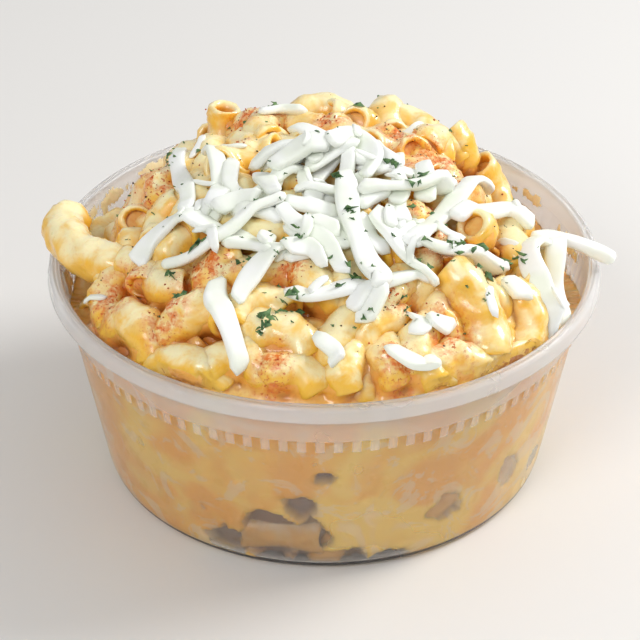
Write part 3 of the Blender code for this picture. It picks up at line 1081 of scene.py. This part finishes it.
def shred(line, width, thick, chance):
    """A bar of cheese with soft corners, its cut ends ragged and its width uneven."""
    count = len(line)
    forward = np.gradient(line, axis=0)
    forward /= np.linalg.norm(forward, axis=1)[:, None]
    side = np.cross(np.tile((0.0, 0.0, 1.0), (count, 1)), forward)
    side /= np.linalg.norm(side, axis=1)[:, None]
    over = np.cross(forward, side)
    twist = chance.normal(0, 0.25) + np.linspace(0, 1, count) * chance.normal(0, 0.5)
    around = 16
    turns = 2 * math.pi * (np.arange(around) + 0.5) / around
    power = 0.55
    flat = np.sign(np.cos(turns)) * np.abs(np.cos(turns)) ** power
    tall = np.sign(np.sin(turns)) * np.abs(np.sin(turns)) ** power
    along = np.concatenate([[0], np.linalg.norm(np.diff(line, axis=0), axis=1).cumsum()])
    waves = chance.uniform(0, 6, 3)
    taper = chance.uniform(0.0, 0.25)
    slant = chance.uniform(-0.2, 0.2, 2) * width
    rows = []
    for i in range(count):
        to_end = min(along[i], along[-1] - along[i])
        size = math.sqrt(max(1 - max(1 - to_end / (1.0 * MM), 0) ** 2, 0.3))
        slim = 1 - taper * max(1 - to_end / (6 * MM), 0)
        wide = width / 2 * (1 + 0.13 * math.sin(along[i] / (3 * MM) + waves[0])) * size * slim
        high = thick / 2 * (1 + 0.1 * math.sin(along[i] / (2.3 * MM) + waves[1])) * size * slim
        c = math.cos(twist[i])
        s = math.sin(twist[i])
        across = side[i] * c + over[i] * s
        up = over[i] * c - side[i] * s
        lean = slant[0] * max(1 - along[i] / (3 * MM), 0)
        lean = lean + slant[1] * max(1 - (along[-1] - along[i]) / (3 * MM), 0)
        rows.append(
            line[i]
            + across * (wide * flat)[:, None]
            + up * (high * tall)[:, None]
            + forward[i] * (lean * flat)[:, None]
        )
    points = np.concatenate(rows)
    faces = ring_faces(count, around)
    faces.append(tuple(range(around))[::-1])
    faces.append(tuple(range(len(points) - around, len(points))))
    return points, faces, np.zeros(len(points))


SHREDS_BELOW = 38
SHAVINGS = 26


def shreds_below(chance):
    """Short shreds under the others, in the thick of the pile."""
    found = []
    for _ in range(SHREDS_BELOW):
        outward = math.sqrt(chance.random())
        turn = chance.uniform(0, 2 * math.pi)
        x = -1 + 24 * outward * math.cos(turn)
        y = -15 + 18 * outward * math.sin(turn)
        heading = chance.uniform(0, math.pi)
        half = chance.uniform(3.5, 6.5)
        sway = chance.uniform(-1.8, 1.8)
        run = np.array((math.cos(heading), math.sin(heading))) * half
        middle = (x - sway * math.sin(heading), y + sway * math.cos(heading))
        route = ((x - run[0], y - run[1]), middle, (x + run[0], y + run[1]))
        found.append((route, chance.uniform(2.8, 3.6)))
    return tuple(found)


def shavings(chance):
    """Thin scraps of cheese over the whole pile."""
    found = []
    for x, y in over_the_heap(SHAVINGS, chance, ((2, -15, 30), (24, -22, 24), (-16, -14, 26)), 1.0):
        heading = chance.uniform(0, 2 * math.pi)
        half = chance.uniform(1.6, 3.6)
        run = np.array((math.cos(heading), math.sin(heading))) * half
        sway = chance.uniform(-0.8, 0.8, 2)
        route = ((x - run[0], y - run[1]), (x + sway[0], y + sway[1]), (x + run[0], y + run[1]))
        found.append((route, chance.uniform(1.1, 2.0)))
    return tuple(found)


def make_shreds(ground, made_of, chance):
    bunch = Bunch()
    for route, width in shreds_below(chance) + SHREDS + shavings(chance):
        reach = sum(math.dist(a, b) for a, b in zip(route, route[1:]))
        plan = smooth_line(route, max(int(reach / 0.8), 8)) * MM
        width = 1.22 * width * MM
        thick = width * chance.uniform(0.38, 0.55)
        z = draped(plan, width / 2.5, ground) + thick / 2
        line = np.column_stack([plan, z])
        points, faces, shade_depth = shred(line, width, thick, chance)
        points = keep_inside(points)
        bunch.add(points, faces, shade_depth)
        ground.lay(points, faces)
    return bunch.make("shreds", made_of)


# --- The two pieces that lean over the rim -------------------------------------------------------------


def make_rim_elbow(made_of, chance):
    rest = RIM_Z + 4.1 * MM
    points = (
        (-54.2 * MM, 5.2 * MM, rest + 0.6 * MM),
        (-54.9 * MM, 0.5 * MM, rest + 0.4 * MM),
        (-51.8 * MM, -6.0 * MM, rest),
        (-46.0 * MM, -12.2 * MM, rest),
        (-38.5 * MM, -15.5 * MM, rest + 0.6 * MM),
    )
    line = smooth_line(points, 34)
    bunch = Bunch()
    points, faces, shade_depth = tube(line, 4.5 * MM, 2.0 * MM, chance, around=28)
    skin = shade_depth == 0
    points[skin] = lumpy(points[skin], line, 0.9, 0.35, 7)
    bunch.add(points, faces, shade_depth)
    return bunch.make("leaning_elbow", made_of)


def make_rim_shred(made_of, chance):
    rest = RIM_Z + 1.6 * MM
    points = (
        (43.0 * MM, -10.0 * MM, rest + 7.2 * MM),
        (47.0 * MM, -7.5 * MM, rest + 6.0 * MM),
        (52.0 * MM, -5.2 * MM, rest + 3.6 * MM),
        (56.5 * MM, -5.0 * MM, rest + 1.4 * MM),
        (60.5 * MM, -7.5 * MM, rest + 0.6 * MM),
    )
    bunch = Bunch()
    bunch.add(*shred(smooth_line(points, 28), 4.0 * MM, 2.8 * MM, chance))
    return bunch.make("leaning_shred", made_of)


# --- Herbs and spices --------------------------------------------------------------------------------


PAPRIKA_GRAINS = 420
PEPPER_GRAINS = 170

# Torn parsley leaves that stand out: (x, y) in mm, and how many lie together.
LEAVES = (
    (-12, -46, 7),
    (-10, -44, 4),
    (26, -29, 4),
    (28, -30, 4),
    (32, -28, 4),
    (38, -21, 6),
    (36, -23, 3),
    (18, -16, 3),
    (20, -13, 3),
    (5, -23, 3),
    (2, -14, 3),
    (-31, -29, 3),
    (-28, -35, 3),
    (-24, -28, 3),
    (-15, -31, 4),
    (-5, -30, 3),
    (6, -36, 4),
    (-8, -41, 4),
    (-5, -42, 3),
    (3, -40, 2),
    (6, 20, 3),
    (-11, 24, 4),
    (23, 0, 4),
    (30, 9, 4),
    (14, -6, 3),
    (15, -40, 3),
    (12, -52, 2),
    (8, -46, 2),
    (-8, -35, 3),
    (-32, -44, 2),
    (20, -34, 3),
    (-34, 14, 2),
)


def flake(centre, size, chance):
    """A torn scrap of leaf: a long cupped star with a few lobes."""
    lobes = chance.integers(5, 9)
    turns = np.linspace(0, 2 * math.pi, lobes, endpoint=False) + chance.uniform(0, 6)
    reach = size * np.where(np.arange(lobes) % 2, 1.0, 0.5) * chance.uniform(0.6, 1.1, lobes)
    slim = chance.uniform(0.35, 0.8)
    curl = chance.normal(0.1, 0.25, lobes) * size
    ring = np.stack([reach * np.cos(turns), slim * reach * np.sin(turns), curl], axis=1)
    top = np.vstack([(0, 0, 0.1 * size), ring])
    base = top - (0, 0, 0.12 * MM)
    n = lobes + 1
    faces = []
    for k in range(lobes):
        a = 1 + k
        b = 1 + (k + 1) % lobes
        faces.append((0, a, b))
        faces.append((n, n + b, n + a))
        faces.append((a, n + a, n + b, b))
    spin = Matrix.Rotation(chance.uniform(0, 6.28), 4, "Z")
    spin = spin @ Matrix.Rotation(chance.normal(0, 0.45), 4, "X")
    return turned(np.vstack([top, base]), Matrix.Translation(centre) @ spin), faces


def grain(centre, size, chance):
    """A crumb of spice: a small crooked octahedron."""
    ends = np.array(((1, 0, 0), (0, 1, 0), (-1, 0, 0), (0, -1, 0), (0, 0, 1), (0, 0, -1)), float)
    ends *= size * chance.uniform(0.5, 1.0, (6, 1))
    faces = [(k, (k + 1) % 4, 4) for k in range(4)] + [((k + 1) % 4, k, 5) for k in range(4)]
    spin = Matrix.Rotation(chance.uniform(0, 6.28), 4, "Z")
    spin = spin @ Matrix.Rotation(chance.uniform(0, 6.28), 4, "X")
    return turned(ends, Matrix.Translation(centre) @ spin), faces


def over_the_heap(count, chance, near=(), share=0.0):
    """Places in mm spread over the heap; this share of them lies near the given (x, y, reach) places."""
    found = []
    while len(found) < count:
        if chance.random() < share:
            x, y, reach = near[chance.integers(len(near))]
            found.append((x + chance.normal(0, 0.5 * reach), y + chance.normal(0, 0.5 * reach)))
            continue
        outward = 50 * math.sqrt(chance.random())
        around = chance.uniform(0, 2 * math.pi)
        found.append((outward * math.cos(around), outward * math.sin(around)))
    return found


def scatter(name, places, sizes, shape, made_of, ground, chance):
    bunch = Bunch()
    for x, y in places:
        x *= MM
        y *= MM
        z = float(ground.read(np.array([x]), np.array([y]))[0])
        if math.hypot(x, y) > 53 * MM or z < TEETH_FOOT:
            continue
        points, faces = shape((x, y, z - 0.05 * MM), chance.uniform(*sizes) * MM, chance)
        bunch.add(points, faces, np.zeros(len(points)))
    return bunch.make(name, made_of)


# --- The studio --------------------------------------------------------------------------------------


def make_floor():
    made, _, shader = material("pale_floor", 0.6)
    shader.inputs["Base Color"].default_value = linear(226, 224, 221)
    reach = 3.0
    below = -0.0002
    ends = ((-reach, -reach), (reach, -reach), (reach, reach), (-reach, reach))
    corners = [(x, y, below) for x, y in ends]
    floor = make_piece("floor", corners, [(0, 1, 2, 3)], made, smooth=False)


def add_lamp(name, place, aim, side, power):
    lamp = bpy.data.lights.new(name, "AREA")
    lamp.shape = "DISK"
    lamp.size = side
    lamp.energy = power
    lamp.color = (1, 1, 1)
    holder = bpy.data.objects.new(name, lamp)
    holder.location = place
    holder.rotation_euler = (Vector(aim) - Vector(place)).to_track_quat("-Z", "Y").to_euler()
    bpy.context.scene.collection.objects.link(holder)


def make_world(level):
    world = bpy.data.worlds.new("soft_room")
    world.use_nodes = True
    tree = world.node_tree
    tree.nodes.clear()
    out = tree.nodes.new("ShaderNodeOutputWorld")
    room = tree.nodes.new("ShaderNodeBackground")
    room.inputs["Color"].default_value = (1, 1, 1, 1)
    room.inputs["Strength"].default_value = level
    tree.links.new(room.outputs[0], out.inputs[0])
    bpy.context.scene.world = world


def add_camera():
    """The view: 33 degrees down, half a metre away, aimed a little under the rim."""
    rise = math.radians(33.25)
    away = 0.5
    target = Vector((-0.9 * MM, 0, RIM_Z - 17.7 * MM))
    place = target + Vector((0, -math.cos(rise), math.sin(rise))) * away
    lens = bpy.data.cameras.new("camera")
    lens.lens = 130.3
    lens.sensor_width = 36
    holder = bpy.data.objects.new("camera", lens)
    holder.location = place
    holder.rotation_euler = (target - place).to_track_quat("-Z", "Y").to_euler()
    bpy.context.scene.collection.objects.link(holder)
    bpy.context.scene.camera = holder


def main():
    chance = np.random.default_rng(11)
    bpy.context.scene.view_settings.view_transform = "Standard"
    tone = sauce_tone_group()
    # The second and third colours are the gold, partly painted shade on the sides, and the tan of the
    # painted shade in the hollows.
    pasta = pasta_material(
        "sauced_pasta", tone, linear(255, 240, 190), linear(247, 192, 62), linear(235, 184, 88)
    )
    thin = pasta_material(
        "thin_sauce", tone, linear(254, 244, 212), linear(252, 238, 196), linear(250, 232, 184)
    )
    sauce_look = sauce_material(tone)
    cheese = cheese_material()
    grains = grain_tone_group()
    parsley = grain_material("parsley", grains, linear(104, 138, 82), linear(58, 92, 54))
    paprika = grain_material("paprika", grains, linear(204, 96, 34), linear(150, 58, 24))
    pepper = grain_material("pepper", grains, linear(84, 60, 42), linear(44, 32, 26))

    ground = Ground()
    stuffing = []
    shown = make_elbows(SHOWN_ELBOWS, "elbows_shown", pasta, ground, stuffing, chance)
    upper, lower = scattered_elbows(chance)
    between = make_elbows(upper, "elbows_between", pasta, ground, stuffing, chance)
    beneath = make_elbows(lower, "elbows_beneath", pasta, ground, stuffing, chance)
    sauce = make_sauce(stuffing, sauce_look)
    leaning = make_rim_elbow(pasta, chance)
    for made in (shown, between, beneath, sauce, leaning):
        weather(made, ground)
    by_wall = make_wall_elbows(pasta, chance)
    for made in (shown, between, beneath, sauce, by_wall, make_smears(thin)):
        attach(made, "root")
        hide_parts("macaroni_heap")
    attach(leaning, "root")
    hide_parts("rim_elbow")
    cloud = milky_cloud_group()
    tub = make_tub(
        plastic_material("clear_wall", 0.95, cloud),
        plastic_material("milky_band", 0.72, cloud),
        plastic_material("milky_rim", 0.68, cloud),
    )
    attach(tub, "root")
    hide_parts("container")
    dusty = over_the_heap(PAPRIKA_GRAINS, chance, DUSTED, 0.6)
    peppery = over_the_heap(PEPPER_GRAINS, chance, DUSTED, 0.3)
    spices = (
        scatter("paprika_grains", dusty, (0.15, 0.42), grain, paprika, ground, chance),
        scatter("pepper_grains", peppery, (0.15, 0.42), grain, pepper, ground, chance),
    )
    shreds = make_shreds(ground, cheese, chance)
    over = make_rim_shred(cheese, chance)
    for made, node in ((shreds, "cheese_shreds"), (over, "rim_shred")):
        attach(made, "root")
        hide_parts(node)
    clusters = [(x, y, 2.2) for x, y, _ in LEAVES]
    leaves = [
        (x + chance.normal(0, 0.9), y + chance.normal(0, 0.9))
        for x, y, many in LEAVES
        for _ in range(many)
    ]
    flecks = over_the_heap(190, chance, clusters, 0.25)
    herbs = (
        scatter("parsley_leaves", leaves, (1.1, 2.2), flake, parsley, ground, chance),
        scatter("parsley_flecks", flecks, (0.4, 1.0), flake, parsley, ground, chance),
    )
    for made in spices + herbs:
        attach(made, "root")

    make_floor()
    make_world(0.52)
    add_lamp("window", (0.66, 0.2, 0.55), (0, 0, 0.04), 0.4, 5.8)
    add_lamp("fill", (-0.3, -0.6, 0.6), (0, 0, 0.04), 0.35, 2.5)
    add_camera()


main()
